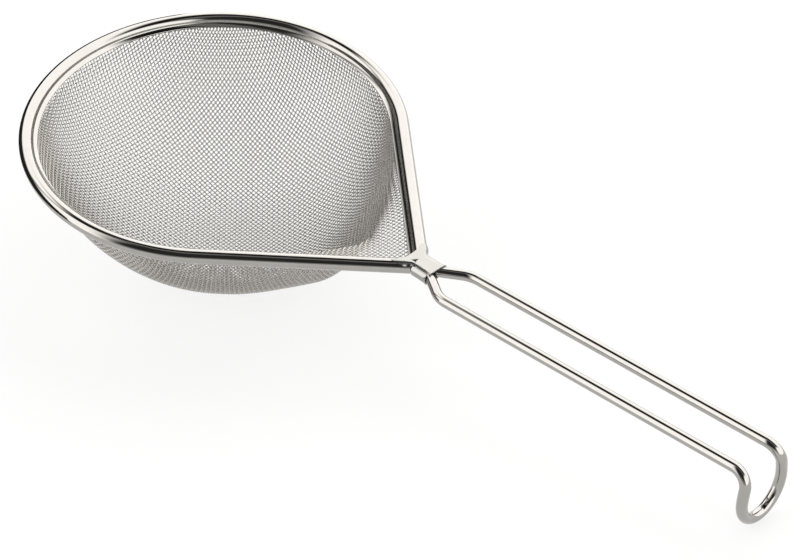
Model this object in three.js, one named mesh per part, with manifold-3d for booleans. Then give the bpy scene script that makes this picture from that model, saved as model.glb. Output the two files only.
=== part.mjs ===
// Wire tea strainer: a teardrop rim holds a woven wire bowl, and the rim's core wire runs on
// through a folded sheet clip to become a two-bar handle with a turned-down hanging hook.
// Units are millimetres. The strainer is drawn with its rim level, +X towards the handle and
// +Z up, then tipped onto the two places where it rests: the bowl's bottom and the hook's tip.
import * as THREE from 'three';
import { mergeVertices } from 'three/addons/utils/BufferGeometryUtils.js';
import Module from 'manifold-3d';

const wasm = await Module();
wasm.setup();

// ---- driving dimensions ----
const RIM_RADIUS = 38.5;          // centre line of the rim's round part
const WIRE_RADIUS = 1.1;
const WIRE_SIDES = 12;
const WIRE_END_GAP = 0.4;         // between the core wire's two butt ends, inside the rim channel

const CHANNEL_OUTER = 1.48;       // rolled sheet round the core wire
const CHANNEL_INNER = 1.2;
const CHANNEL_SIDES = 14;
const CHANNEL_END_X = 55;
const FLANGE_ANGLE = THREE.MathUtils.degToRad(22);    // below the horizontal, towards the bowl
const FLANGE_TIP = 2.35;          // the upper lip's reach from the wire's centre
const FLANGE_LOWER_TIP = 1.95;
const SLOT_HALF = 0.3;            // half the gap between the lips

const THROAT_X = 57.34;           // where the two wires turn parallel
const THROAT_HALF = 1.2;
const FORK_X = 62;                // where they part again
const BAR_HALF = 4.57;            // half the spacing of the handle bars
const BAR_START_X = 67.5;
const BAR_START_Z = 0.21;
const BAR_RISE = THREE.MathUtils.degToRad(4.67);
const HOOK_START_X = 139.9;
const THROAT_BEND = 3.2;          // bend radii of the wire's centre line
const BAR_BEND = 7;
const BEND_STEPS = 5;

const HOOK_BEND = 3.2;
const HOOK_SWEEP = THREE.MathUtils.degToRad(94);
const HOOK_LENGTH = 15;           // along the wire from the bend's start to the U's end
const HOOK_U_DEPTH = 6.4;
const HOOK_FLARE = 1.1;           // the U is a little wider than the bars

const CLOTH_THICKNESS = 0.4;
const CLOTH_EDGE_REACH = 1.5;     // the cloth's edge stops between the lips, short of the wire
const CLOTH_TIP_RADIUS = 2.5;     // in plan, at the handle end of the teardrop
const FLANGE_TIP_RADIUS = 1;
const BOWL_DEPTH = 26.7;          // below the flange's tip
const BOWL_CENTRE_X = 8.8;
const BOWL_POWER = 2.52;
const BOWL_WALL_POWER = 0.63;
const BOWL_TAIL_SHARE = 0.32;     // how far the hollow reaches from the circle into the tail
const BOWL_RIM_SHOULDER = 0.02;   // how softly the wall turns out to the flange, and to the tail
const BOWL_TAIL_SHOULDER = 0.05;
const BOWL_TIP_RADIUS = 4;
const BOWL_SECTORS = 72;
const BOWL_RINGS = 13;
const REST_FLAT_DEPTH = 0.25;     // how much of the bottom's crown is pressed flat

const CLIP_SHEET = 0.3;
const CLIP_CLEARANCE = 0.12;
const CLIP_START = 0.8;           // the closed part of the clip, from the throat towards the hook
const CLIP_LOOP_END = 4.2;
const CLIP_PLATE_END = 5.3;
const CLIP_TAIL = -2.8;           // the lobes' reach over the rim
const PLATE_TILT = THREE.MathUtils.degToRad(3);
const CLIP_SEAM_Y = -1.75;
const CLIP_SEAM_WIDTH = 0.3;
const FLAP_START = 1.2;           // along the rim's legs, from the throat
const FLAP_END = 4.4;
const FLAP_LAP_ANGLE = 0.2;       // radians that a flap reaches past the top and the side

const REST_TILT = THREE.MathUtils.degToRad(8.613);

// ---- materials ----
function steel(color, roughness) {
  return new THREE.MeshStandardMaterial({ color, roughness, metalness: 1 });
}
const polishedSteel = () => steel(0xc8cacc, 0.14);
const sheetSteel = () => steel(0xd2d3d3, 0.2);
const wovenSteel = () => steel(0xb4b5b6, 0.35);

// ---- a path made of curves, each with its own number of steps ----
class SteppedPath extends THREE.Curve {
  constructor(pieces) {
    super();
    this.pieces = pieces;
    this.steps = pieces.reduce((sum, piece) => sum + piece.steps, 0);
  }

  locate(t) {
    let station = t * this.steps;
    for (const piece of this.pieces) {
      if (station <= piece.steps) return [piece.curve, station / piece.steps];
      station -= piece.steps;
    }
    return [this.pieces.at(-1).curve, 1];
  }

  getPoint(t) {
    const [curve, local] = this.locate(t);
    return curve.getPoint(local);
  }

  getTangent(t) {
    const [curve, local] = this.locate(t);
    return curve.getTangent(local);
  }

  getUtoTmapping(u) {
    return u;
  }
}

class ArcCurve extends THREE.Curve {
  constructor(radius, from, to) {
    super();
    Object.assign(this, { radius, from, to });
  }

  getPoint(t) {
    const angle = this.from + (this.to - this.from) * t;
    return new THREE.Vector3(this.radius * Math.cos(angle), this.radius * Math.sin(angle), 0);
  }
}

// The hook is a flat U rolled over a round bend: s runs along the bars' direction, y across them.
class HookCurve extends THREE.Curve {
  outline(t) {
    const side = Math.sign(0.5 - t) || 1;
    const run = Math.min(t, 1 - t) * 2;
    const straight = HOOK_LENGTH - HOOK_U_DEPTH;
    const straightShare = 0.5;
    if (run < straightShare) {
      const k = run / straightShare;
      return [k * straight, side * (BAR_HALF + HOOK_FLARE * THREE.MathUtils.smoothstep(k, 0, 1))];
    }
    const angle = (run - straightShare) / (1 - straightShare) * Math.PI / 2;
    const width = BAR_HALF + HOOK_FLARE;
    return [straight + HOOK_U_DEPTH * Math.sin(angle), side * width * Math.cos(angle)];
  }

  getPoint(t) {
    const [s, y] = this.outline(t);
    const turn = Math.min(s / HOOK_BEND, HOOK_SWEEP);
    const beyond = Math.max(s - HOOK_BEND * HOOK_SWEEP, 0);
    const along = HOOK_BEND * Math.sin(turn) + beyond * Math.cos(turn);
    const down = HOOK_BEND * (1 - Math.cos(turn)) + beyond * Math.sin(turn);
    const start = barPoint(HOOK_START_X);
    return new THREE.Vector3(
      start.x + along * Math.cos(BAR_RISE) + down * Math.sin(BAR_RISE),
      y,
      start.z + along * Math.sin(BAR_RISE) - down * Math.cos(BAR_RISE),
    );
  }
}

function barPoint(x) {
  return new THREE.Vector3(x, BAR_HALF, BAR_START_Z + (x - BAR_START_X) * Math.tan(BAR_RISE));
}

function mirrorY(point) {
  return new THREE.Vector3(point.x, -point.y, point.z);
}

// Straight runs between points, with a circular bend of the given radius at each inner one.
function bentRun(points, radii) {
  const pieces = [];
  let from = points[0];
  for (let i = 1; i < points.length - 1; i++) {
    const into = points[i].clone().sub(points[i - 1]).normalize();
    const out = points[i + 1].clone().sub(points[i]).normalize();
    const turn = into.angleTo(out);
    const setback = radii[i - 1] * Math.tan(turn / 2);
    const handle = 4 / 3 * Math.tan(turn / 4) * radii[i - 1];
    const bendStart = points[i].clone().addScaledVector(into, -setback);
    const bendEnd = points[i].clone().addScaledVector(out, setback);
    const bend = new THREE.CubicBezierCurve3(
      bendStart,
      bendStart.clone().addScaledVector(into, handle),
      bendEnd.clone().addScaledVector(out, -handle),
      bendEnd,
    );
    pieces.push({ curve: new THREE.LineCurve3(from, bendStart), steps: 2 });
    pieces.push({ curve: bend, steps: BEND_STEPS });
    from = bendEnd;
  }
  pieces.push({ curve: new THREE.LineCurve3(from, points.at(-1)), steps: 3 });
  return pieces;
}

// ---- the teardrop's plan: a circle with a tangent leg each side, meeting at the throat ----
const throat = new THREE.Vector3(THROAT_X, THROAT_HALF, 0);
const TANGENT_ANGLE = Math.atan2(throat.y, throat.x) + Math.acos(RIM_RADIUS / throat.length());
const LEG_ANGLE = Math.PI / 2 - TANGENT_ANGLE;    // between each leg and the X axis
const tangentPoint = new THREE.Vector3(
  RIM_RADIUS * Math.cos(TANGENT_ANGLE),
  RIM_RADIUS * Math.sin(TANGENT_ANGLE),
  0,
);

function legPoint(x) {
  return new THREE.Vector3(x, THROAT_HALF + (THROAT_X - x) * Math.tan(LEG_ANGLE), 0);
}

function sweep(section, path, curveSegments) {
  return new THREE.ExtrudeGeometry(section, { steps: path.steps, extrudePath: path, curveSegments });
}

function frameWire() {
  const corners = [
    tangentPoint,
    throat,
    new THREE.Vector3(FORK_X, THROAT_HALF, 0),
    barPoint(BAR_START_X),
    barPoint(HOOK_START_X),
  ];
  const bends = [THROAT_BEND, THROAT_BEND, BAR_BEND];
  const farHalf = bentRun(corners, bends);
  const nearHalf = bentRun(corners.map(mirrorY).reverse(), bends.toReversed());
  const endAngle = Math.PI - WIRE_END_GAP / 2 / RIM_RADIUS;
  const path = new SteppedPath([
    { curve: new ArcCurve(RIM_RADIUS, endAngle, TANGENT_ANGLE), steps: 26 },
    ...farHalf,
    { curve: new HookCurve(), steps: 36 },
    ...nearHalf,
    { curve: new ArcCurve(RIM_RADIUS, -TANGENT_ANGLE, -endAngle), steps: 26 },
  ]);
  const section = new THREE.Shape();
  section.absarc(0, 0, WIRE_RADIUS, 0, 2 * Math.PI);
  return sweep(section, path, WIRE_SIDES / 2);
}

// The channel's section is drawn with x down and y inwards, as the sweep lays it. The sheet
// is rolled round the wire, and its two lips run out as a flange that holds the cloth's edge.
function rimChannel() {
  const face = SLOT_HALF + CHANNEL_OUTER - CHANNEL_INNER;
  const outerTurn = Math.asin(face / CHANNEL_OUTER);
  const innerTurn = Math.asin(SLOT_HALF / CHANNEL_INNER);
  const turn = Math.PI / 2 - FLANGE_ANGLE;
  const centre = new THREE.Vector2();
  const corner = (along, up) => new THREE.Vector2(along, up).rotateAround(centre, turn);
  const section = new THREE.Shape();
  section.absarc(0, 0, CHANNEL_OUTER, turn + outerTurn, turn + 2 * Math.PI - outerTurn, false);
  section.lineTo(...corner(FLANGE_LOWER_TIP, -face));
  section.lineTo(...corner(FLANGE_LOWER_TIP, -SLOT_HALF));
  section.absarc(0, 0, CHANNEL_INNER, turn + 2 * Math.PI - innerTurn, turn + innerTurn, true);
  section.lineTo(...corner(FLANGE_TIP, SLOT_HALF));
  section.lineTo(...corner(FLANGE_TIP, face));
  section.closePath();
  const end = legPoint(CHANNEL_END_X);
  const path = new SteppedPath([
    { curve: new THREE.LineCurve3(end, tangentPoint), steps: 3 },
    { curve: new ArcCurve(RIM_RADIUS, TANGENT_ANGLE, 2 * Math.PI - TANGENT_ANGLE), steps: 54 },
    { curve: new THREE.LineCurve3(mirrorY(tangentPoint), mirrorY(end)), steps: 3 },
  ]);
  return sweep(section, path, CHANNEL_SIDES / 2);
}

// ---- the woven bowl ----
const flangeInset = FLANGE_TIP * Math.cos(FLANGE_ANGLE);
const clothInset = CLOTH_EDGE_REACH * Math.cos(FLANGE_ANGLE);

function rayToCircle(angle, centreX, radius) {
  const offset = BOWL_CENTRE_X - centreX;
  const cross = offset * Math.sin(angle);
  return -offset * Math.cos(angle) + Math.sqrt(Math.max(radius ** 2 - cross ** 2, 0));
}

// Distance from the bowl's centre to a line set in from the rim's centre line: circle,
// straight leg, then rounded tip.
function reach(angle, inset, tipRadius) {
  const circle = RIM_RADIUS - inset;
  const tipX = (circle - tipRadius) / Math.cos(TANGENT_ANGLE);
  const toLeg = (circle - BOWL_CENTRE_X * Math.cos(TANGENT_ANGLE)) / Math.cos(
    Math.abs(angle) - TANGENT_ANGLE);
  const y = Math.abs(toLeg * Math.sin(angle));
  const onHandleSide = Math.abs(angle) < Math.PI / 2 + LEG_ANGLE;
  const legStart = circle * Math.sin(TANGENT_ANGLE);
  if (onHandleSide && y < tipRadius * Math.sin(TANGENT_ANGLE)) {
    return rayToCircle(angle, tipX, tipRadius);
  }
  if (onHandleSide && y < legStart && toLeg > 0) return toLeg;
  return rayToCircle(angle, 0, circle);
}

// How far a point lies inside the rim's centre line.
function rimInset(x, y) {
  const across = x * Math.cos(TANGENT_ANGLE) + Math.abs(y) * Math.sin(TANGENT_ANGLE);
  const onLeg = Math.atan2(Math.abs(y), x) < TANGENT_ANGLE;
  return RIM_RADIUS - (onLeg ? across : Math.hypot(x, y));
}

// A point of the cloth: it slopes down between the flange's lips, then falls into the bowl.
function clothPoint(away, angle) {
  const edge = reach(angle, flangeInset, BOWL_TIP_RADIUS);
  const round = rayToCircle(angle, 0, RIM_RADIUS - flangeInset);
  const hollow = round + BOWL_TAIL_SHARE * (edge - round);
  const tailShare = Math.min((edge - hollow) / BOWL_TIP_RADIUS, 1);
  const shoulder = BOWL_RIM_SHOULDER + BOWL_TAIL_SHOULDER * tailShare;
  const fallAt = (radius) => {
    const wall = 1 - (radius / hollow) ** BOWL_POWER;
    return ((wall + Math.hypot(wall, shoulder)) / 2) ** BOWL_WALL_POWER;
  };
  const x = BOWL_CENTRE_X + away * Math.cos(angle);
  const y = away * Math.sin(angle);
  const skirt = -Math.min(rimInset(x, y), flangeInset) * Math.tan(FLANGE_ANGLE);
  const fall = Math.max(fallAt(away) - fallAt(edge), 0) / (fallAt(0) - fallAt(edge));
  return new THREE.Vector3(x, y, skirt - BOWL_DEPTH * fall);
}

function clothNormal(away, angle) {
  const step = 0.15;
  const turn = 0.004;
  if (away < step) return new THREE.Vector3(0, 0, 1);
  const along = clothPoint(away + step, angle).sub(clothPoint(away - step, angle));
  const across = clothPoint(away, angle + turn).sub(clothPoint(away, angle - turn));
  return along.cross(across).normalize();
}

// A lathed disc with two skins is pushed out to the cloth's shape. Its radius is the share of
// the way to the flange's tip, with one more ring for the edge between the lips, and its
// height says which skin a vertex belongs to.
function meshBowl() {
  const edgeRing = 1.2;
  const shares = [];
  for (let i = 0; i <= BOWL_RINGS; i++) shares.push(Math.sin(i / BOWL_RINGS * Math.PI / 2) ** 1.15);
  shares.push(edgeRing);
  const lower = shares.map((share) => new THREE.Vector2(share, -1));
  const upper = shares.toReversed().map((share) => new THREE.Vector2(share, 1));
  const lathe = new THREE.LatheGeometry([...lower, ...upper], BOWL_SECTORS);
  lathe.deleteAttribute('normal');
  lathe.deleteAttribute('uv');
  const geometry = mergeVertices(lathe, 1e-5);
  const position = geometry.getAttribute('position');
  for (let i = 0; i < position.count; i++) {
    const disc = new THREE.Vector3().fromBufferAttribute(position, i);
    const share = Math.hypot(disc.x, disc.z);
    const angle = Math.atan2(disc.x, disc.z);
    const away = share > (1 + edgeRing) / 2
      ? reach(angle, clothInset, CLOTH_TIP_RADIUS)
      : Math.min(share, 1) * reach(angle, flangeInset, FLANGE_TIP_RADIUS);
    const skin = disc.y * CLOTH_THICKNESS / 2;
    const point = clothPoint(away, angle).addScaledVector(clothNormal(away, angle), skin);
    pressFlat(point, disc.y);
    position.setXYZ(i, point.x, point.y, point.z);
  }
  return geometry;
}

// The bottom's crown is flat in the plane that the strainer rests on.
function pressFlat(point, skin) {
  const height = point.z * Math.cos(REST_TILT) - point.x * Math.sin(REST_TILT);
  const floor = restHeight + (skin > 0 ? CLOTH_THICKNESS : 0);
  if (height < floor) point.z += (floor - height) / Math.cos(REST_TILT);
}

function lowestBowlHeight() {
  let lowest = 0;
  for (let away = 0; away < 15; away += 0.05) {
    const point = clothPoint(away, 0);
    lowest = Math.min(lowest, point.z * Math.cos(REST_TILT) - point.x * Math.sin(REST_TILT));
  }
  return lowest - CLOTH_THICKNESS / 2;
}
const restHeight = lowestBowlHeight() + REST_FLAT_DEPTH;

// ---- the clip ----
function toSolid(geometry) {
  const bare = geometry.clone();
  bare.deleteAttribute('normal');
  bare.deleteAttribute('uv');
  const merged = mergeVertices(bare, 1e-4);
  const index = merged.getIndex();
  return new wasm.Manifold(new wasm.Mesh({
    numProp: 3,
    vertProperties: new Float32Array(merged.getAttribute('position').array),
    triVerts: new Uint32Array(index.array),
  }));
}

function toGeometry(solid) {
  const mesh = solid.getMesh();
  const geometry = new THREE.BufferGeometry();
  geometry.setAttribute('position', new THREE.BufferAttribute(mesh.vertProperties, 3));
  geometry.setIndex(new THREE.BufferAttribute(mesh.triVerts, 1));
  return geometry;
}

// Turns a section's depth to run along X, with its own x and y along Y and Z.
function layAlongX(geometry) {
  return geometry.rotateX(Math.PI / 2).rotateZ(Math.PI / 2);
}

// The top plate rises a little towards the bowl to clear the rim, and splays over both legs
// with a hollow edge between its two lobes.
function clipPlate() {
  const loopHalf = THROAT_HALF + WIRE_RADIUS;
  const lobeOuter = legPoint(THROAT_X + CLIP_TAIL).y + 0.9;
  const lobeInner = legPoint(THROAT_X + CLIP_TAIL).y - 1.3;
  const shape = new THREE.Shape();
  shape.moveTo(CLIP_PLATE_END, -loopHalf);
  shape.lineTo(CLIP_PLATE_END, loopHalf);
  shape.lineTo(CLIP_START, loopHalf);
  shape.lineTo(CLIP_TAIL, lobeOuter);
  shape.lineTo(CLIP_TAIL - 0.6, lobeInner);
  shape.quadraticCurveTo(-0.6, 0, CLIP_TAIL - 0.6, -lobeInner);
  shape.lineTo(CLIP_TAIL, -lobeOuter);
  shape.lineTo(CLIP_START, -loopHalf);
  shape.closePath();
  const plate = new THREE.ExtrudeGeometry(shape, {
    depth: CLIP_SHEET,
    bevelEnabled: false,
    curveSegments: 8,
  });
  plate.translate(-CLIP_PLATE_END, 0, 0);
  plate.rotateY(PLATE_TILT);
  plate.translate(THROAT_X + CLIP_PLATE_END, 0, WIRE_RADIUS + CLIP_CLEARANCE);
  return plate;
}

// The closed part wraps round both wires, from the plate's far side under to the near seam.
function clipLoop() {
  const inner = WIRE_RADIUS + CLIP_CLEARANCE;
  const outer = inner + CLIP_SHEET;
  const shape = new THREE.Shape();
  shape.absarc(THROAT_HALF, 0, outer, -Math.PI / 2, Math.PI / 2, false);
  shape.absarc(-THROAT_HALF, 0, outer, Math.PI / 2, 3 * Math.PI / 2, false);
  shape.closePath();
  const hole = new THREE.Path();
  hole.absarc(THROAT_HALF, 0, inner, Math.PI / 2, -Math.PI / 2, true);
  hole.absarc(-THROAT_HALF, 0, inner, -Math.PI / 2, -3 * Math.PI / 2, true);
  hole.closePath();
  shape.holes.push(hole);
  const loop = new THREE.ExtrudeGeometry(shape, {
    depth: CLIP_LOOP_END - CLIP_START,
    bevelEnabled: false,
    curveSegments: 6,
  });
  layAlongX(loop);
  loop.translate(THROAT_X + CLIP_START, 0, 0);
  return loop;
}

// Each lobe turns down over the outer side of its leg.
function clipFlap(side) {
  const inner = CHANNEL_OUTER + CLIP_CLEARANCE;
  const outer = inner + CLIP_SHEET;
  const foot = Math.PI / 2 - side * (Math.PI / 2 + FLAP_LAP_ANGLE);
  const head = Math.PI / 2 + side * FLAP_LAP_ANGLE;
  const shape = new THREE.Shape();
  shape.absarc(0, 0, outer, foot, head, side < 0);
  shape.absarc(0, 0, inner, head, foot, side > 0);
  shape.closePath();
  const flap = new THREE.ExtrudeGeometry(shape, {
    depth: FLAP_END - FLAP_START,
    bevelEnabled: false,
    curveSegments: 5,
  });
  layAlongX(flap);
  flap.translate(-FLAP_END, 0, 0);
  flap.rotateZ(-side * LEG_ANGLE);
  flap.translate(THROAT_X, side * THROAT_HALF, 0);
  return flap;
}

function throatClip() {
  const seam = new THREE.BoxGeometry(CLIP_LOOP_END, CLIP_SEAM_WIDTH, 1.2);
  const seamX = THROAT_X + CLIP_START + CLIP_LOOP_END / 2;
  seam.translate(seamX, CLIP_SEAM_Y, WIRE_RADIUS + CLIP_CLEARANCE);
  const solid = toSolid(clipPlate())
    .add(toSolid(clipLoop()))
    .add(toSolid(clipFlap(1)))
    .add(toSolid(clipFlap(-1)))
    .subtract(toSolid(seam));
  return toGeometry(solid);
}

// ---- assembly ----
function piece(name, geometry, material) {
  const mesh = new THREE.Mesh(geometry, material);
  mesh.name = name;
  return mesh;
}

const strainer = new THREE.Group();
strainer.add(piece('frame_wire', frameWire(), polishedSteel()));
strainer.add(piece('rim_channel', rimChannel(), polishedSteel()));
strainer.add(piece('mesh_bowl', meshBowl(), wovenSteel()));
strainer.add(piece('throat_clip', throatClip(), sheetSteel()));
strainer.rotation.y = REST_TILT;

const group = new THREE.Group();
group.add(strainer);
group.updateMatrixWorld(true);
const box = new THREE.Box3().setFromObject(strainer, true);
const middle = box.getCenter(new THREE.Vector3());
strainer.position.set(-middle.x, -middle.y, -box.min.z);

export default group;
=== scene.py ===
import math

import bpy
import numpy as np
from mathutils import Matrix, Vector


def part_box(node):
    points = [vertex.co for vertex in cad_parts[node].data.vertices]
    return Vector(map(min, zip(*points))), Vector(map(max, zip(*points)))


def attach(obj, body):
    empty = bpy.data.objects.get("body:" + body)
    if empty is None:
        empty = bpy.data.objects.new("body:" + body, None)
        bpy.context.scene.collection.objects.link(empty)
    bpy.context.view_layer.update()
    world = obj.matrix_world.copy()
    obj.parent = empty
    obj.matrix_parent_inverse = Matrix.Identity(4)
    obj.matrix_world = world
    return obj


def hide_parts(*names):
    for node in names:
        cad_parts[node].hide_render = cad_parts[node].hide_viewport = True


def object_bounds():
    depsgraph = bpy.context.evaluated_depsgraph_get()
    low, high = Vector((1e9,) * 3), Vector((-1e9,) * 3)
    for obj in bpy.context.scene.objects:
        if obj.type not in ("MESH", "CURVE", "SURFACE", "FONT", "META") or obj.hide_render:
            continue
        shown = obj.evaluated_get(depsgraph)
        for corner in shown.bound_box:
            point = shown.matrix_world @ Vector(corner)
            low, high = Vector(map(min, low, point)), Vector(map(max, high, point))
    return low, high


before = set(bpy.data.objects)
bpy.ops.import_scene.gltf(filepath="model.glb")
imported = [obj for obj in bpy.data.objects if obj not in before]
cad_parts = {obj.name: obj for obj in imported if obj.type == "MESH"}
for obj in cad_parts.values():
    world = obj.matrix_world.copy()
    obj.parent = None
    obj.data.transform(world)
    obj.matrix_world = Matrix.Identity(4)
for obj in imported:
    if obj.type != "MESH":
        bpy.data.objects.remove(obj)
cad_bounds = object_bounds()

# ---- dimensions in millimetres: rim level, X towards the handle, Z up ----
# They follow the CAD part. The rim channel's ends, the clip's ends and the turn from the
# bowl's wall to its tail differ from it, and a few values have one more digit.
MM = 0.001
REST_TILT = math.radians(8.613)
RIM_RADIUS = 38.5
WIRE_RADIUS = 1.1
WIRE_END_GAP = 0.4
CHANNEL_OUTER = 1.48
CHANNEL_INNER = 1.2
CHANNEL_END_X = 57.0
FLANGE_ANGLE = math.radians(22)
FLANGE_TIP = 2.35
FLANGE_LOWER_TIP = 1.95
SLOT_HALF = 0.3
THROAT_X = 57.34
THROAT_HALF = 1.2
FORK_X = 62.0
BAR_HALF = 4.57
BAR_START_X = 67.5
BAR_START_Z = 0.21
BAR_RISE = math.radians(4.674)
HOOK_START_X = 139.9
THROAT_BEND = 3.2
BAR_BEND = 7.0
HOOK_BEND = 3.2
HOOK_SWEEP = math.radians(94)
HOOK_LENGTH = 15.0
HOOK_U_DEPTH = 6.38
HOOK_FLARE = 1.07
CLOTH_EDGE_REACH = 1.5
CLOTH_TIP_RADIUS = 2.5
BOWL_DEPTH = 26.7
BOWL_CENTRE_X = 8.8
BOWL_POWER = 2.52
BOWL_WALL_POWER = 0.63
BOWL_TAIL_SHARE = 0.322
BOWL_TAIL_SHOULDER = 0.12
BOWL_RIM_SHOULDER = 0.02
BOWL_TIP_RADIUS = 4.0
REST_FLAT_DEPTH = 0.25
CLOTH_PITCH = 0.79
CLOTH_WIRE_RADIUS = 0.12
CLIP_SHEET = 0.3
CLIP_CLEARANCE = 0.12
CLIP_LOOP_START = 0.8
CLIP_LOOP_END = 4.7
CLIP_PLATE_END = 5.1
CLIP_EDGE_ROUND = 0.07
NET_AHEAD = 90              # cloth crossings from the bowl's centre: to the handle, back and aside
NET_BEHIND = 82
NET_ASIDE = 80

THROAT_ANGLE = math.atan2(THROAT_HALF, THROAT_X)
THROAT_REACH = math.hypot(THROAT_X, THROAT_HALF)
TANGENT_ANGLE = THROAT_ANGLE + math.acos(RIM_RADIUS / THROAT_REACH)
LEG_ANGLE = math.pi / 2 - TANGENT_ANGLE
TANGENT_POINT = RIM_RADIUS * np.array([math.cos(TANGENT_ANGLE), math.sin(TANGENT_ANGLE), 0.0])
MIRROR_Y = np.array([1.0, -1.0, 1.0])
SHARP_ANGLE = math.radians(75)      # between a tube's side and its end cap, not round a section


# ---- the rim frame's place in the row frame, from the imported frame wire's box ----
def rest_matrix():
    low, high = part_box("frame_wire")
    shift_x = low.x / MM + RIM_RADIUS * math.cos(REST_TILT) + WIRE_RADIUS
    shift_z = high.z / MM - RIM_RADIUS * math.sin(REST_TILT) - WIRE_RADIUS
    turn = Matrix.Rotation(REST_TILT, 4, "Y")
    return Matrix.Translation((shift_x * MM, 0, shift_z * MM)) @ turn @ Matrix.Scale(MM, 4)


REST = rest_matrix()
REST_ARRAY = np.array(REST)


def to_row(points):
    return points @ REST_ARRAY[:3, :3].T + REST_ARRAY[:3, 3]


# ---- mesh building ----
def unit(vectors):
    return vectors / np.maximum(np.linalg.norm(vectors, axis=-1, keepdims=True), 1e-12)


def build_mesh(name, points, faces, grain=None):
    mesh = bpy.data.meshes.new(name)
    mesh.from_pydata(to_row(points).tolist(), [], faces)
    mesh.shade_smooth()
    mesh.set_sharp_from_angle(angle=SHARP_ANGLE)
    if grain is not None:
        attribute = mesh.attributes.new("grain", "FLOAT_VECTOR", "POINT")
        attribute.data.foreach_set("vector", np.ascontiguousarray(grain, np.float32).ravel())
    piece = bpy.data.objects.new(name, mesh)
    bpy.context.scene.collection.objects.link(piece)
    return piece


def tangents_of(path):
    return unit(np.gradient(path, axis=0))


def carried_normals(path, first):
    """A normal carried along the path without twist."""
    tangents = tangents_of(path)
    normals = np.empty_like(path)
    normal = np.asarray(first, float)
    for i, tangent in enumerate(tangents):
        normal = normal - tangent * (normal @ tangent)
        normal = normal / np.linalg.norm(normal)
        normals[i] = normal
    return tangents, normals


def grid_faces(rows, columns, start=0, closed=True):
    """Quads between rows of columns points, each row joined round when closed."""
    spans = columns if closed else columns - 1
    i, j = np.meshgrid(np.arange(rows - 1), np.arange(spans), indexing="ij")
    k = (j + 1) % columns
    here, above = i * columns, (i + 1) * columns
    quads = np.stack([here + j, here + k, above + k, above + j], -1)
    return (quads.reshape(-1, 4) + start).tolist()


def path_length(path):
    steps = np.linalg.norm(np.diff(path, axis=0), axis=1)
    return np.concatenate([[0.0], np.cumsum(steps)])


def sweep(name, path, section, first_normal):
    """A closed section swept along an open path, with its two ends capped.
    The section's x follows the normal."""
    tangents, normals = carried_normals(path, first_normal)
    sides = np.cross(tangents, normals)
    points = (path[:, None] + section[None, :, 0, None] * normals[:, None]
              + section[None, :, 1, None] * sides[:, None])
    rows, columns = points.shape[:2]
    faces = grid_faces(rows, columns)
    faces.append(list(range(columns))[::-1])
    faces.append(list(range((rows - 1) * columns, rows * columns)))
    grain = np.empty(points.shape)
    grain[..., :2] = section[None]
    grain[..., 2] = path_length(path)[:, None]
    return build_mesh(name, points.reshape(-1, 3), faces, grain.reshape(-1, 3))


def circle(radius, count):
    angles = np.arange(count) * 2 * math.pi / count
    return radius * np.stack([np.cos(angles), np.sin(angles)], -1)


# ---- the frame wire ----
def bar_point(x):
    return np.array([x, BAR_HALF, BAR_START_Z + (x - BAR_START_X) * math.tan(BAR_RISE)])


def arc(start, end, steps):
    angles = np.linspace(start, end, steps)
    return RIM_RADIUS * np.stack([np.cos(angles), np.sin(angles), 0 * angles], -1)


def bent_run(corners, radii, steps=14):
    """Straight runs between corners, with a smooth bend at each inner one."""
    points = [corners[0][None]]
    for before, corner, after, radius in zip(corners, corners[1:], corners[2:], radii):
        into, out = unit(corner - before), unit(after - corner)
        turn = math.acos(np.clip(into @ out, -1, 1))
        setback = radius * math.tan(turn / 2)
        handle = 4 / 3 * math.tan(turn / 4) * radius
        start, end = corner - into * setback, corner + out * setback
        t = np.linspace(0, 1, steps)[:, None]
        points.append(start * (1 - t) ** 3 + (start + into * handle) * 3 * t * (1 - t) ** 2
                      + (end - out * handle) * 3 * t ** 2 * (1 - t) + end * t ** 3)
    points.append(corners[-1][None])
    return np.concatenate(points)


def hook_path(steps):
    """A flat U rolled over a round bend: s runs along the bars' direction, y across them."""
    t = np.linspace(0, 1, steps)
    side = np.where(t < 0.5, 1.0, -1.0)
    run = np.minimum(t, 1 - t) * 2
    straight = HOOK_LENGTH - HOOK_U_DEPTH
    width = BAR_HALF + HOOK_FLARE
    k = np.clip(run * 2, 0, 1)
    angle = np.clip(run * 2 - 1, 0, 1) * math.pi / 2
    s = np.where(k < 1, k * straight, straight + HOOK_U_DEPTH * np.sin(angle))
    flare = BAR_HALF + HOOK_FLARE * k * k * (3 - 2 * k)
    y = side * np.where(k < 1, flare, width * np.cos(angle))
    turn = np.minimum(s / HOOK_BEND, HOOK_SWEEP)
    beyond = np.maximum(s - HOOK_BEND * HOOK_SWEEP, 0)
    along = HOOK_BEND * np.sin(turn) + beyond * np.cos(turn)
    down = HOOK_BEND * (1 - np.cos(turn)) + beyond * np.sin(turn)
    start = bar_point(HOOK_START_X)
    return np.stack([
        start[0] + along * math.cos(BAR_RISE) + down * math.sin(BAR_RISE),
        y,
        start[2] + along * math.sin(BAR_RISE) - down * math.cos(BAR_RISE),
    ], -1)


def frame_wire_path():
    corners = [
        TANGENT_POINT,
        np.array([THROAT_X, THROAT_HALF, 0.0]),
        np.array([FORK_X, THROAT_HALF, 0.0]),
        bar_point(BAR_START_X),
        bar_point(HOOK_START_X),
    ]
    bends = [THROAT_BEND, THROAT_BEND, BAR_BEND]
    run = bent_run(corners, bends)
    end_angle = math.pi - WIRE_END_GAP / 2 / RIM_RADIUS
    half_ring = arc(end_angle, TANGENT_ANGLE, 120)
    hook = hook_path(241)
    return np.concatenate([
        half_ring[:-1],
        run[:-1],
        hook,
        (run * MIRROR_Y)[::-1][1:],
        (half_ring * MIRROR_Y)[::-1][1:],
    ])


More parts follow.
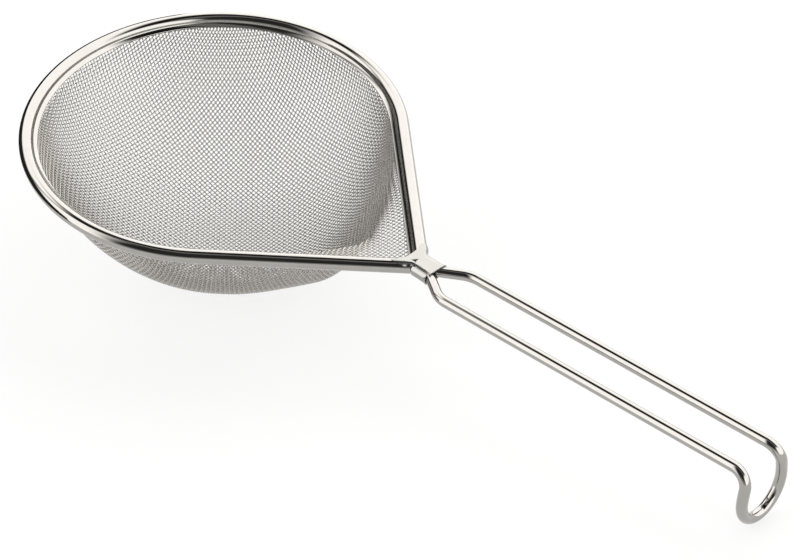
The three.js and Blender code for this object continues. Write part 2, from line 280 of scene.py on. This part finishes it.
# ---- the rim channel ----
def channel_section():
    """A sheet rolled round the wire, its two ends pinched on the cloth as a flange.
    The flange points inwards and a little down. Section x points down and y inwards."""
    sheet = CHANNEL_OUTER - CHANNEL_INNER
    face = SLOT_HALF + sheet
    outer_turn = math.asin(face / CHANNEL_OUTER)
    inner_turn = math.asin(SLOT_HALF / CHANNEL_INNER)
    outer = np.linspace(outer_turn + 0.1, 2 * math.pi - outer_turn - 0.1, 44)
    inner = np.linspace(2 * math.pi - inner_turn, inner_turn, 40)

    def lip(tip, side, way):
        """Round end of one lip, from its outer face to its inner face, or back."""
        around = np.linspace(-math.pi / 2, math.pi / 2, 7) * way
        return np.stack([tip - sheet / 2 + sheet / 2 * np.cos(around),
                         side * (SLOT_HALF + sheet / 2) + sheet / 2 * np.sin(around)], -1)

    root = CHANNEL_OUTER * math.cos(outer_turn)
    local = np.concatenate([
        [(root + 0.12, face)],
        CHANNEL_OUTER * np.stack([np.cos(outer), np.sin(outer)], -1),
        [(root + 0.12, -face)],
        lip(FLANGE_LOWER_TIP, -1, 1),
        CHANNEL_INNER * np.stack([np.cos(inner), np.sin(inner)], -1),
        lip(FLANGE_TIP, 1, 1),
    ])
    inwards = local[:, 0] * math.cos(FLANGE_ANGLE) + local[:, 1] * math.sin(FLANGE_ANGLE)
    down = local[:, 0] * math.sin(FLANGE_ANGLE) - local[:, 1] * math.cos(FLANGE_ANGLE)
    return np.stack([down, inwards], -1)


def channel_path():
    slope = math.tan(LEG_ANGLE)
    end = np.array([CHANNEL_END_X, THROAT_HALF + (THROAT_X - CHANNEL_END_X) * slope, 0.0])
    round_part = arc(TANGENT_ANGLE, 2 * math.pi - TANGENT_ANGLE, 260)
    leg = np.linspace(end, TANGENT_POINT, 12)[:-1]
    return np.concatenate([leg, round_part, (leg * MIRROR_Y)[::-1]])


# ---- the bowl's height field ----
FLANGE_INSET = FLANGE_TIP * math.cos(FLANGE_ANGLE)
CLOTH_INSET = CLOTH_EDGE_REACH * math.cos(FLANGE_ANGLE)


def ray_to_circle(angle, centre_x, radius):
    offset = BOWL_CENTRE_X - centre_x
    cross = offset * np.sin(angle)
    return -offset * np.cos(angle) + np.sqrt(np.maximum(radius ** 2 - cross ** 2, 0))


def reach(angle, inset, tip_radius):
    """Distance from the bowl's centre to a line inside the rim: circle, leg, then round tip."""
    circle_radius = RIM_RADIUS - inset
    tip_x = (circle_radius - tip_radius) / math.cos(TANGENT_ANGLE)
    lean = np.cos(np.abs(angle) - TANGENT_ANGLE)
    to_leg = circle_radius - BOWL_CENTRE_X * math.cos(TANGENT_ANGLE)
    to_leg = to_leg / np.where(np.abs(lean) < 1e-6, 1e-6, lean)
    y = np.abs(to_leg * np.sin(angle))
    handle_side = np.abs(angle) < math.pi / 2 + LEG_ANGLE
    on_tip = handle_side & (y < tip_radius * math.sin(TANGENT_ANGLE))
    on_leg = handle_side & (y < circle_radius * math.sin(TANGENT_ANGLE)) & (to_leg > 0)
    circle_reach = ray_to_circle(angle, 0, circle_radius)
    tip_reach = ray_to_circle(angle, tip_x, tip_radius)
    return np.where(on_tip, tip_reach, np.where(on_leg, to_leg, circle_reach))


def rim_inset(x, y):
    """How far a point lies inside the rim's centre line, in plan."""
    on_leg = np.arctan2(np.abs(y), x) < TANGENT_ANGLE
    along_leg = x * math.cos(TANGENT_ANGLE) + np.abs(y) * math.sin(TANGENT_ANGLE)
    return RIM_RADIUS - np.where(on_leg, along_leg, np.hypot(x, y))


def soft_wall(wall, shoulder):
    return (wall + np.hypot(wall, shoulder)) / 2


def edge_share(x, y):
    """How far a point lies from the bowl's centre, as a share of the way to the cloth's edge."""
    angle = np.arctan2(y, x - BOWL_CENTRE_X)
    return np.hypot(x - BOWL_CENTRE_X, y) / reach(angle, CLOTH_INSET, CLOTH_TIP_RADIUS)


def free_height(x, y):
    """The bowl before its bottom is pressed flat."""
    angle = np.arctan2(y, x - BOWL_CENTRE_X)
    away = np.hypot(x - BOWL_CENTRE_X, y)
    edge = reach(angle, FLANGE_INSET, BOWL_TIP_RADIUS)
    round_reach = ray_to_circle(angle, 0, RIM_RADIUS - FLANGE_INSET)
    hollow = round_reach + BOWL_TAIL_SHARE * (edge - round_reach)
    into_tail = np.minimum((edge - hollow) / BOWL_TIP_RADIUS, 1)
    shoulder = BOWL_RIM_SHOULDER + BOWL_TAIL_SHOULDER * into_tail
    at_point = soft_wall(1 - (away / hollow) ** BOWL_POWER, shoulder) ** BOWL_WALL_POWER
    at_edge = soft_wall(1 - (edge / hollow) ** BOWL_POWER, shoulder) ** BOWL_WALL_POWER
    at_centre = soft_wall(1, shoulder) ** BOWL_WALL_POWER
    fall = np.maximum(at_point - at_edge, 0) / (at_centre - at_edge)
    skirt = -math.tan(FLANGE_ANGLE) * np.clip(rim_inset(x, y), 0, FLANGE_INSET)
    return skirt - BOWL_DEPTH * fall


def rest_floor():
    """Height at the rim's centre of the plane that the bottom is pressed to."""
    x = np.linspace(-10, 20, 6001)
    return (free_height(x, 0 * x) - x * math.tan(REST_TILT)).min() + REST_FLAT_DEPTH


REST_FLOOR = rest_floor()


def bowl_height(x, y):
    return np.maximum(free_height(x, y), REST_FLOOR + x * math.tan(REST_TILT))


# ---- the woven cloth ----
GRAIN_SHIFT = 137.0         # sets each wire's marks apart from its neighbours'


def on_surface(xy):
    return np.concatenate([xy, bowl_height(xy[..., 0], xy[..., 1])[..., None]], -1)


def height_slope(xy, step=1e-3):
    x, y = xy[..., 0], xy[..., 1]
    across = (bowl_height(x + step, y) - bowl_height(x - step, y)) / (2 * step)
    along = (bowl_height(x, y + step) - bowl_height(x, y - step)) / (2 * step)
    return np.stack([across, along], -1)


def place_between(left, right, guess):
    """The surface points one pitch from each left point and each right point."""
    xy = guess.copy()
    for _ in range(12):
        slope = height_slope(xy)
        point = on_surface(xy)
        to_left, to_right = point - left, point - right
        miss = np.stack([(to_left ** 2).sum(-1), (to_right ** 2).sum(-1)], -1) - CLOTH_PITCH ** 2
        row_a = 2 * (to_left[..., :2] + to_left[..., 2:] * slope)
        row_b = 2 * (to_right[..., :2] + to_right[..., 2:] * slope)
        det = row_a[..., 0] * row_b[..., 1] - row_a[..., 1] * row_b[..., 0]
        det = np.where(np.abs(det) < 1e-3, 1e-3, det)
        step_x = (row_b[..., 1] * miss[..., 0] - row_a[..., 1] * miss[..., 1]) / det
        step_y = (row_a[..., 0] * miss[..., 1] - row_b[..., 0] * miss[..., 0]) / det
        xy = xy - np.clip(np.stack([step_x, step_y], -1), -0.3, 0.3)
    return xy


def centre_line(direction, count):
    """Nodes one pitch apart on the surface, straight out from the bowl's centre in plan."""
    direction = np.asarray(direction, float)
    reach_out = np.linspace(0, 1.6 * THROAT_X, 40001)
    plan = np.array([BOWL_CENTRE_X, 0.0]) + reach_out[:, None] * direction
    length = path_length(on_surface(plan))
    at = np.interp(np.arange(count) * CLOTH_PITCH, length, reach_out)
    return np.array([BOWL_CENTRE_X, 0.0]) + at[:, None] * direction


def net_quadrant(direction_x, count_x, count_y):
    net = np.zeros((count_x, count_y, 2))
    net[:, 0] = centre_line((direction_x, 0), count_x)
    net[0, :] = centre_line((0, 1), count_y)
    for diagonal in range(2, count_x + count_y - 1):
        i = np.arange(max(1, diagonal - count_y + 1), min(diagonal, count_x))
        j = diagonal - i
        left, right = net[i - 1, j], net[i, j - 1]
        guess = left + right - net[i - 1, j - 1]
        net[i, j] = place_between(on_surface(left), on_surface(right), guess)
    return net


def cloth_net():
    """Crossings of the two sets of wires, as plan coordinates, mirrored about the handle's axis."""
    ahead = net_quadrant(1, NET_AHEAD, NET_ASIDE)
    behind = net_quadrant(-1, NET_BEHIND, NET_ASIDE)
    half = np.concatenate([behind[:0:-1], ahead])
    mirrored = half[:, :0:-1] * np.array([1.0, -1.0])
    return np.concatenate([mirrored, half], axis=1)


def wire_run(nodes, over):
    """One cloth wire's centre line from edge to edge with its surface normals, or None
    outside the cloth."""
    share = edge_share(nodes[:, 0], nodes[:, 1])
    inside = np.flatnonzero(share < 1)
    if len(inside) < 2:
        return None
    first, last = inside[0], inside[-1]
    first_part = (1 - share[first]) / max(share[first - 1] - share[first], 1e-9)
    last_part = (1 - share[last]) / max(share[last + 1] - share[last], 1e-9)
    stations = np.concatenate([
        [first - first_part],
        np.arange(2 * first, 2 * last + 1) / 2,
        [last + last_part],
    ])
    index = np.arange(len(nodes))
    xy = np.stack([np.interp(stations, index, nodes[:, k]) for k in (0, 1)], -1)
    slope = height_slope(xy)
    normals = unit(np.concatenate([-slope, np.ones((len(xy), 1))], -1))
    lift = CLOTH_WIRE_RADIUS * np.cos(math.pi * (stations + over))
    return on_surface(xy) + normals * lift[:, None], normals


def cloth_wires(name, runs, sides=6):
    """Many thin wires as one mesh, each a closed tube."""
    ring = circle(CLOTH_WIRE_RADIUS, sides)
    points, faces, grain, start = [], [], [], 0
    for number, (path, normals) in enumerate(runs):
        tangents = tangents_of(path)
        across = unit(np.cross(tangents, normals))
        up = np.cross(across, tangents)
        tube = (path[:, None] + ring[None, :, 0, None] * across[:, None]
                + ring[None, :, 1, None] * up[:, None])
        rows = len(path)
        points.append(tube.reshape(-1, 3))
        faces += grid_faces(rows, sides, start)
        faces.append([start + k for k in range(sides)][::-1])
        faces.append([start + (rows - 1) * sides + k for k in range(sides)])
        marks = np.empty(tube.shape)
        marks[..., :2] = ring[None]
        marks[..., 2] = path_length(path)[:, None] + GRAIN_SHIFT * number
        grain.append(marks.reshape(-1, 3))
        start += rows * sides
    return build_mesh(name, np.concatenate(points), faces, np.concatenate(grain))


def woven_cloth():
    net = cloth_net()
    pieces = []
    for family, lines, phase in (("warp", net, 0), ("weft", net.transpose(1, 0, 2), 1)):
        runs = [wire_run(nodes, number + phase) for number, nodes in enumerate(lines)]
        runs = [run for run in runs if run is not None]
        middle = len(runs) // 2
        for part, chosen in (("a", runs[:middle]), ("b", runs[middle:])):
            pieces.append(cloth_wires(f"cloth_{family}_{part}", chosen))
    return pieces


# ---- the clip, with x measured from the throat and turns in radians from the top ----
FORK_SLOPE = (BAR_HALF - THROAT_HALF) / (BAR_START_X - FORK_X)
DENT_CORNERS = np.array([(-0.64, -1.3), (0.58, 0.24), (0.66, -1.32)])
DENT_SLOPE = 0.42
DENT_EDGE = 0.12
CLIP_ROWS = 72
CLIP_BRIDGE = 40
CLIP_WRAP = 18
NEAR_EDGE_TURN = 0.38
NEAR_FLAP_TURN = 0.75
FLAP_ROLLED_TURN = 0.95
FAR_TURN = 1.9
SEAM_TURN = 0.6


def smooth(edge_a, edge_b, value):
    t = np.clip((value - edge_a) / (edge_b - edge_a), 0, 1)
    return t * t * (3 - 2 * t)


def wire_offset(x):
    """Half the distance between the two wires, x measured from the throat."""
    beyond = x - (FORK_X - THROAT_X)
    leg_spread = math.tan(LEG_ANGLE) * (np.hypot(x, 0.5) - x) / 2
    fork_spread = FORK_SLOPE * (np.hypot(beyond, 0.6) + beyond) / 2
    return THROAT_HALF + leg_spread + fork_spread


def tube_radius(x):
    """The sheet is squeezed a little into the rim where it covers it."""
    return WIRE_RADIUS + CLIP_CLEARANCE + 0.12 * smooth(-0.2, -1.1, x)


def section_stretch(x):
    """A leg crosses the section at an angle, which makes its outline wider there."""
    return 1 + (1 / math.cos(LEG_ANGLE) - 1) * smooth(0.5, -1.5, x)


def clip_point(x, side, bridge, turn, rolled_turn):
    """A point on the clip's inner skin: across the bridge, or turned down round a wire. Past
    rolled_turn the sheet runs on flat instead of round."""
    radius = tube_radius(x)
    rolled = np.minimum(turn, rolled_turn)
    flat = turn - rolled
    across = np.sin(rolled) + flat * np.cos(rolled)
    y = wire_offset(x) * bridge + radius * section_stretch(x) * across
    z = radius * (np.cos(rolled) - flat * np.sin(rolled))
    return np.stack([THROAT_X + x, side * y, z], -1)


def beyond_line(x, y, start, end):
    """How far a point lies to the right of a line from start to end."""
    along = unit(end - start)
    return (x - start[0]) * along[1] - (y - start[1]) * along[0]


def dent(x, y):
    """Depth of the small three-cornered dent, deepest at its side towards the near wire."""
    left, far, near = DENT_CORNERS
    from_far = beyond_line(x, y, left, far)
    from_near = np.minimum(beyond_line(x, y, near, left), beyond_line(x, y, far, near))
    return DENT_SLOPE * np.maximum(from_far, 0) * smooth(0, DENT_EDGE, from_near)


def clip_sheet(name, starts, ends, sides, bridges, turns, rolled_turn):
    """The clip's inner skin, thickened outwards, between two edges given for each column."""
    v = np.linspace(0, 1, CLIP_ROWS)[:, None]
    x = starts[None] * (1 - v) + ends[None] * v
    turn = turns(x) if callable(turns) else np.broadcast_to(turns, x.shape)
    points = clip_point(x, sides[None], bridges[None], turn, rolled_turn)
    on_top = turn == 0
    points[..., 2] -= np.where(on_top, dent(x, points[..., 1]), 0)
    faces = [face[::-1] for face in grid_faces(CLIP_ROWS, len(sides), closed=False)]
    piece = build_mesh(name, points.reshape(-1, 3), faces, points.reshape(-1, 3))
    thicken = piece.modifiers.new("sheet", "SOLIDIFY")
    thicken.thickness = CLIP_SHEET * MM
    thicken.offset = 1
    edges = piece.modifiers.new("edges", "BEVEL")
    edges.width = CLIP_EDGE_ROUND * MM
    edges.segments = 2
    return piece


def clip_top():
    """The plate over both legs, a flap turned down at each side, and a hollow edge between."""
    near = np.linspace(1, 0, CLIP_WRAP, endpoint=False)
    far = np.linspace(0, 1, CLIP_WRAP + 1)[1:]
    middle = np.linspace(-1, 1, CLIP_BRIDGE)
    sides = np.concatenate([0 * near - 1, np.sign(middle + 1e-9), 0 * far + 1])
    bridges = np.concatenate([0 * near + 1, np.abs(middle), 0 * far + 1])
    share = np.concatenate([-near, 0 * middle, far])

    def turns(x):
        near_turn = NEAR_EDGE_TURN + NEAR_FLAP_TURN * smooth(1.0, 0.0, x)
        return np.where(share < 0, -share * near_turn, share * FAR_TURN)

    hollow = -1.6 - np.where(sides < 0, 1.6, 0.7) * np.abs(bridges) ** 4
    near_start = -3.2 + 3.4 * np.maximum(-share, 0) ** 1.2
    far_start = -2.3 + 1.6 * np.maximum(share, 0) ** 2
    starts = np.where(share < 0, near_start, np.where(share > 0, far_start, hollow))
    ends = CLIP_PLATE_END + 0.1 * sides * bridges
    rolled_turn = np.where(sides < 0, FLAP_ROLLED_TURN, math.pi)
    return clip_sheet("clip_plate_bright", starts, ends, sides, bridges, turns, rolled_turn)


def clip_wrap():
    """The closed part: from the far side under both wires and up to the seam."""
    around = np.linspace(FAR_TURN - 0.1, math.pi, 14)
    under = np.linspace(1, -1, 10)[1:-1]
    back = np.linspace(math.pi, SEAM_TURN, 34)
    sides = np.concatenate([0 * around + 1, np.sign(under + 1e-9), 0 * back - 1])
    bridges = np.concatenate([0 * around + 1, np.abs(under), 0 * back + 1])
    turns = np.concatenate([around, 0 * under + math.pi, back])
    starts = np.full(len(sides), CLIP_LOOP_START)
    ends = np.full(len(sides), CLIP_LOOP_END)
    return clip_sheet("clip_wrap", starts, ends, sides, bridges, turns, math.pi)


# ---- materials ----
def steel(name, color, roughness, spread, bump, scale):
    """Bright metal with fine drawn marks along the piece's own grain."""
    material = bpy.data.materials.new(name)
    material.use_nodes = True
    nodes, links = material.node_tree.nodes, material.node_tree.links
    shader = nodes["Principled BSDF"]
    shader.inputs["Metallic"].default_value = 1.0
    grain = nodes.new("ShaderNodeAttribute")
    grain.attribute_name = "grain"
    stretch = nodes.new("ShaderNodeMapping")
    stretch.inputs["Scale"].default_value = scale
    links.new(grain.outputs["Vector"], stretch.inputs["Vector"])
    marks = nodes.new("ShaderNodeTexNoise")
    marks.inputs["Scale"].default_value = 1.0
    marks.inputs["Detail"].default_value = 4.0
    links.new(stretch.outputs["Vector"], marks.inputs["Vector"])
    patches = nodes.new("ShaderNodeTexNoise")
    patches.inputs["Scale"].default_value = 0.35
    patches.inputs["Detail"].default_value = 3.0
    links.new(grain.outputs["Vector"], patches.inputs["Vector"])
    tone = nodes.new("ShaderNodeMix")
    tone.data_type = "RGBA"
    tone.inputs["A"].default_value = (*[c * 0.93 for c in color], 1)
    tone.inputs["B"].default_value = (*[min(c * 1.06, 1) for c in color], 1)
    links.new(patches.outputs["Fac"], tone.inputs["Factor"])
    links.new(tone.outputs["Result"], shader.inputs["Base Color"])
    gloss = nodes.new("ShaderNodeMapRange")
    gloss.inputs["To Min"].default_value = roughness - spread
    gloss.inputs["To Max"].default_value = roughness + spread
    links.new(marks.outputs["Fac"], gloss.inputs["Value"])
    links.new(gloss.outputs["Result"], shader.inputs["Roughness"])
    relief = nodes.new("ShaderNodeBump")
    relief.inputs["Strength"].default_value = 1.0
    relief.inputs["Distance"].default_value = bump * MM
    links.new(marks.outputs["Fac"], relief.inputs["Height"])
    links.new(relief.outputs["Normal"], shader.inputs["Normal"])
    return material


# ---- the stage, in metres ----
WORLD_WHITE = 2.45
WORLD_DIM = 0.5
WORLD_DARK = 0.015
FLOOR_SIZE = 3.0
FLOOR_COLOR = 0.2
FLOOR_GLOW = 0.77           # keeps the floor white where the object shades it
FLAG_AWAY = 0.05
FLAG_RISE = 0.03
FLAG_SPAN = (-0.16, 0.07)


def world_light():
    """Soft boxes behind and to the front left, a white side at the right, a dark gap overhead
    and a dim camera side. Each part is a band of directions."""
    world = bpy.data.worlds.new("studio")
    bpy.context.scene.world = world
    world.use_nodes = True
    nodes, links = world.node_tree.nodes, world.node_tree.links
    place = nodes.new("ShaderNodeTexCoord")
    split = nodes.new("ShaderNodeSeparateXYZ")
    links.new(place.outputs["Generated"], split.inputs["Vector"])

    def ramp(axis, low, high, bottom, top):
        step = nodes.new("ShaderNodeMapRange")
        step.interpolation_type = "SMOOTHSTEP"
        step.inputs["From Min"].default_value = low
        step.inputs["From Max"].default_value = high
        step.inputs["To Min"].default_value = bottom
        step.inputs["To Max"].default_value = top
        links.new(split.outputs[axis], step.inputs["Value"])
        return step.outputs["Result"]

    def combine(operation, first, *others):
        result = first
        for other in others:
            math_node = nodes.new("ShaderNodeMath")
            math_node.operation = operation
            links.new(result, math_node.inputs[0])
            links.new(other, math_node.inputs[1])
            result = math_node.outputs["Value"]
        return result

    rear = combine("MULTIPLY", ramp("Y", 0.24, 0.42, 0, WORLD_WHITE), ramp("X", -0.92, -0.8, 0, 1))
    rear_left = combine("MULTIPLY", ramp("X", -0.45, -0.6, 0, WORLD_WHITE),
                        ramp("X", -0.92, -0.8, 0, 1), ramp("Y", -0.35, -0.15, 0, 1))
    front_left = combine("MULTIPLY", ramp("Y", -0.42, -0.25, WORLD_WHITE, 0),
                         ramp("X", -0.4, 0.0, 1, 0), ramp("X", -0.9, -0.7, 0, 1))
    right = combine("MULTIPLY", ramp("X", 0.66, 0.84, 0, WORLD_WHITE), ramp("Y", -0.6, -0.4, 0, 1))
    low_front = combine("MULTIPLY", ramp("Z", 0.05, 0.4, WORLD_DIM, 0), ramp("Y", -0.2, 0.0, 1, 0))
    overhead = combine("MULTIPLY", ramp("Y", -0.34, -0.26, 0, WORLD_DIM * 0.6),
                       ramp("Y", -0.1, -0.04, 1, 0), ramp("X", -0.4, -0.2, 0, 1))
    dark = ramp("Y", -0.5, 0.1, WORLD_DARK * 3, WORLD_DARK)
    light = combine("MAXIMUM", rear, rear_left, front_left, right, low_front, overhead, dark)

    studio = nodes["Background"]
    studio.inputs["Color"].default_value = (1.0, 0.995, 0.985, 1)
    links.new(light, studio.inputs["Strength"])
    backdrop = nodes.new("ShaderNodeBackground")
    backdrop.inputs["Color"].default_value = (0.95, 0.95, 0.95, 1)
    path = nodes.new("ShaderNodeLightPath")
    seen = nodes.new("ShaderNodeMixShader")
    links.new(path.outputs["Is Camera Ray"], seen.inputs["Fac"])
    links.new(studio.outputs["Background"], seen.inputs[1])
    links.new(backdrop.outputs["Background"], seen.inputs[2])
    links.new(seen.outputs["Shader"], nodes["World Output"].inputs["Surface"])


def stage_sheet(name, corners, material_name, color, roughness):
    """A flat sheet of the stage with a matt material. Returns the sheet and its shader."""
    mesh = bpy.data.meshes.new(name)
    mesh.from_pydata(corners, [], [(0, 1, 2, 3)])
    piece = bpy.data.objects.new(name, mesh)
    bpy.context.scene.collection.objects.link(piece)
    material = bpy.data.materials.new(material_name)
    material.use_nodes = True
    shader = material.node_tree.nodes["Principled BSDF"]
    shader.inputs["Base Color"].default_value = (color, color, color, 1)
    shader.inputs["Roughness"].default_value = roughness
    mesh.materials.append(material)
    return piece, shader


def floor():
    half = FLOOR_SIZE / 2
    corners = [(-half, -half, 0), (half, -half, 0), (half, half, 0), (-half, half, 0)]
    shader = stage_sheet("floor", corners, "floor_paper", FLOOR_COLOR, 0.9)[1]
    shader.inputs["Specular IOR Level"].default_value = 0.1
    shader.inputs["Emission Color"].default_value = (1, 1, 1, 1)
    shader.inputs["Emission Strength"].default_value = FLOOR_GLOW


def flag():
    """A low black card to the left of the bowl, seen only in reflections."""
    low, high = cad_bounds
    x, top = low.x - FLAG_AWAY, high.z + FLAG_RISE
    front, back = FLAG_SPAN
    corners = [(x, front, 0), (x, back, 0), (x, back, top), (x, front, top)]
    piece = stage_sheet("flag", corners, "flag_felt", 0.01, 1.0)[0]
    piece.visible_camera = False
    piece.visible_diffuse = False
    piece.visible_shadow = False


# ---- the camera, placed in the rim frame ----
CAMERA_AZIMUTH = 0.753590
CAMERA_ELEVATION = 0.731180
CAMERA_ROLL = 0.020812
CAMERA_OFFSET = (-0.984687, 0.786706, -15.952240)    # the rim's centre from it, in rim radii
CAMERA_LENS = 135.0
CAMERA_SENSOR = 36.0


def camera():
    a, e, r = CAMERA_AZIMUTH, CAMERA_ELEVATION, CAMERA_ROLL
    back = Vector((math.sin(a) * math.cos(e), -math.cos(a) * math.cos(e), math.sin(e)))
    right = Vector((math.cos(a), math.sin(a), 0))
    up = back.cross(right)
    axis_x = right * math.cos(r) + up * math.sin(r)
    axis_y = up * math.cos(r) - right * math.sin(r)
    turn = Matrix((axis_x, axis_y, back)).transposed()
    place = -(turn @ Vector(CAMERA_OFFSET)) * RIM_RADIUS
    data = bpy.data.cameras.new("camera")
    data.lens = CAMERA_LENS
    data.sensor_width = CAMERA_SENSOR
    data.sensor_fit = "HORIZONTAL"
    data.clip_start = 0.01
    data.clip_end = 20
    piece = bpy.data.objects.new("camera", data)
    bpy.context.scene.collection.objects.link(piece)
    rest_turn = REST.to_3x3().normalized()
    piece.matrix_world = Matrix.LocRotScale(REST @ place, (rest_turn @ turn).to_quaternion(), None)
    bpy.context.scene.camera = piece


# ---- assembly ----
def finish_piece(piece, material, slot, *nodes):
    piece.data.materials.append(material)
    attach(piece, "root")
    if nodes:
        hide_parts(*nodes)


wire_steel = steel("wire_steel", (0.386, 0.373, 0.352), 0.07, 0.03, 0.003, (6, 6, 0.25))
rim_steel = steel("rim_steel", (0.386, 0.373, 0.352), 0.08, 0.03, 0.003, (6, 6, 0.3))
cloth_steel = steel("cloth_steel", (0.43, 0.412, 0.388), 0.26, 0.08, 0.003, (12, 12, 1.5))
clip_steel = steel("clip_steel", (0.35, 0.342, 0.325), 0.2, 0.06, 0.006, (3, 1.2, 3))

frame_wire = sweep("frame_wire_bright", frame_wire_path(), circle(WIRE_RADIUS, 28), (0, 0, 1))
finish_piece(frame_wire, wire_steel, "polished_wire", "frame_wire")
rim = sweep("rim_channel_bright", channel_path(), channel_section(), (0, 0, -1))
finish_piece(rim, rim_steel, "polished_sheet", "rim_channel")
for cloth in woven_cloth():
    finish_piece(cloth, cloth_steel, "woven_wire", "mesh_bowl")
for clip in (clip_top(), clip_wrap()):
    finish_piece(clip, clip_steel, "clip_sheet", "throat_clip")

world_light()
floor()
flag()
camera()
bpy.context.scene.view_settings.view_transform = "Standard"
